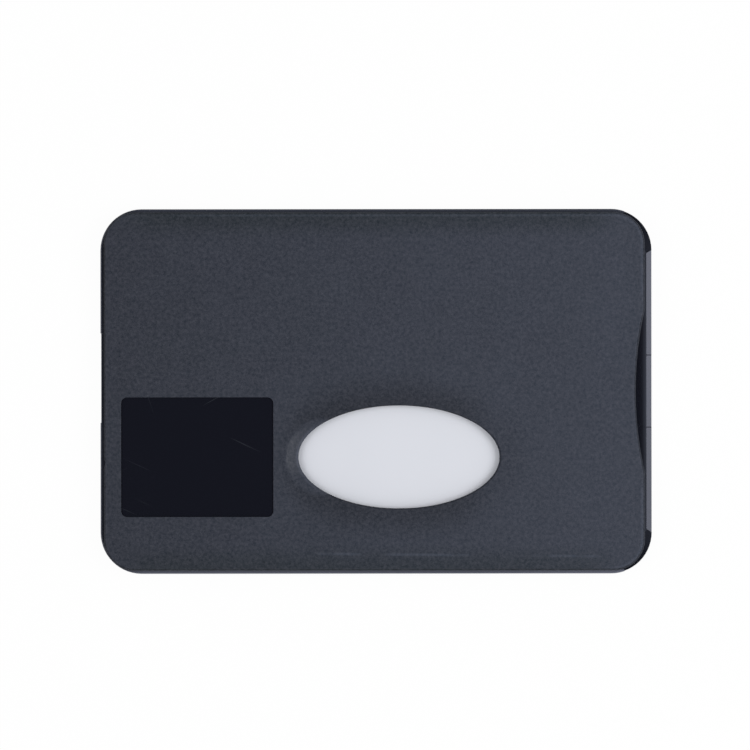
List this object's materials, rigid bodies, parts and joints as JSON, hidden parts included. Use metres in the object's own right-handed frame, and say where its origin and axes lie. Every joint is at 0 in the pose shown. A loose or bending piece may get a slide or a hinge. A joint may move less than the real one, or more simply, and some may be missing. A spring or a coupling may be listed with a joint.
{
  "type": "rfid card sleeve",
  "caption": "Rigid moulded card sleeve with shielding foils, an oval thumb window, a finger notch at its mouth and a plain card that slides out.",
  "frame": {"origin": "middle of the back face, with the sleeve lying on its back", "axes": "+X along the length towards the mouth, +Y across the card, +Z from the back to the front face"},
  "size_m": [0.09, 0.0596, 0.0033],
  "materials": {
    "cover_plastic": "spark-eroded matte grain, polished in the recess and on the edges",
    "tray_plastic": "matte grain on the back, polished floor, border and mouth lip",
    "shield_foil": "rolled foil under a clear film",
    "card_plastic": "smooth white laminate"
  },
  "bodies": {
    "sleeve": {"rear_shell": "tray_plastic", "rear_shield": "shield_foil", "front_shield": "shield_foil", "front_shell": "cover_plastic"},
    "card": {"card": "card_plastic"}
  },
  "joints": [
    {"name": "card_slide", "type": "slide", "parent": "sleeve", "child": "card", "axis": [1, 0, 0], "range_m": [0, 0.089]}
  ]
}
